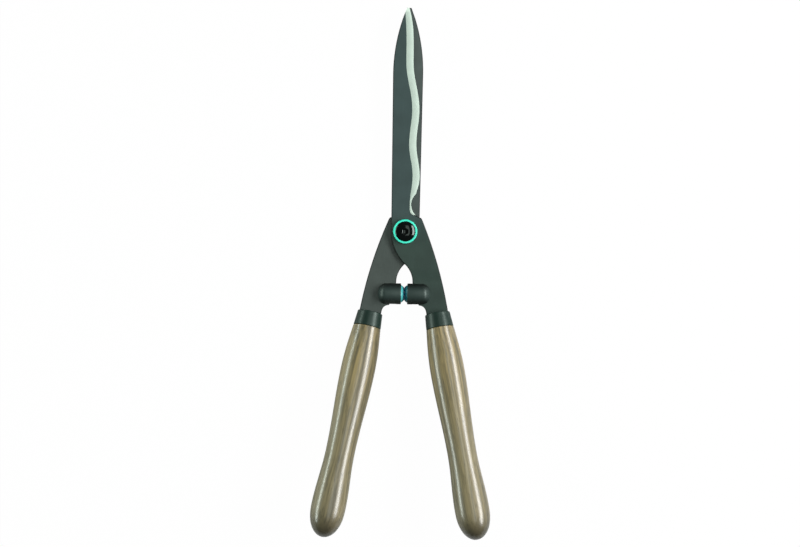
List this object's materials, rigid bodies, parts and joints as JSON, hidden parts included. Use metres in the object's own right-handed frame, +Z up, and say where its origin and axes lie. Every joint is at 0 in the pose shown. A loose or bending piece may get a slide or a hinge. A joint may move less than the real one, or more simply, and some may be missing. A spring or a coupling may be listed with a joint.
{
  "type": "hedge shears",
  "caption": "Hedge shears with wavy ground blades, a bolted pivot in a coloured ring, domed stop buffers on the tangs and turned wooden handles in dark ferrules.",
  "frame": {"origin": "middle of the base of the closed shears' box, as they lie on their back", "axes": "+Y along the closed blades towards the tips, +X towards the right handle, +Z up out of the front face"},
  "size_m": [0.195, 0.5764, 0.067],
  "materials": {
    "front_blade_steel": "dark grey-green non-stick coating, satin, with a bright ground band",
    "rear_blade_steel": "dark grey-green non-stick coating, satin, with a bright ground band",
    "bolt_black": "black gloss",
    "ring_turquoise": "turquoise, semi-gloss",
    "zinc_steel": "zinc plated",
    "spring_steel": "dark phosphated spring steel",
    "nylon": "natural nylon",
    "handle_wood": "olive grey-brown stained wood, satin varnish",
    "ferrule_black": "black, semi-gloss",
    "cap_black": "black-grey, satin",
    "pad_turquoise": "turquoise gel, glossy"
  },
  "bodies": {
    "rear_half": {"rear_blade": "rear_blade_steel", "pivot_bolt": "bolt_black", "pivot_ring": "ring_turquoise", "pivot_washer": "zinc_steel", "spring_washer": "spring_steel", "lock_nut": "zinc_steel", "nut_insert": "nylon", "left_handle": "handle_wood", "left_ferrule": "ferrule_black", "left_buffer_cap": "cap_black", "left_buffer_pad": "pad_turquoise"},
    "front_half": {"front_blade": "front_blade_steel", "right_handle": "handle_wood", "right_ferrule": "ferrule_black", "right_buffer_cap": "cap_black", "right_buffer_pad": "pad_turquoise"}
  },
  "joints": [
    {"name": "blade_pivot", "type": "hinge", "parent": "rear_half", "child": "front_half", "pos_m": [0, 0.04437, 0.01241], "axis": [0, 0, 1], "range_deg": [0, 70]}
  ]
}
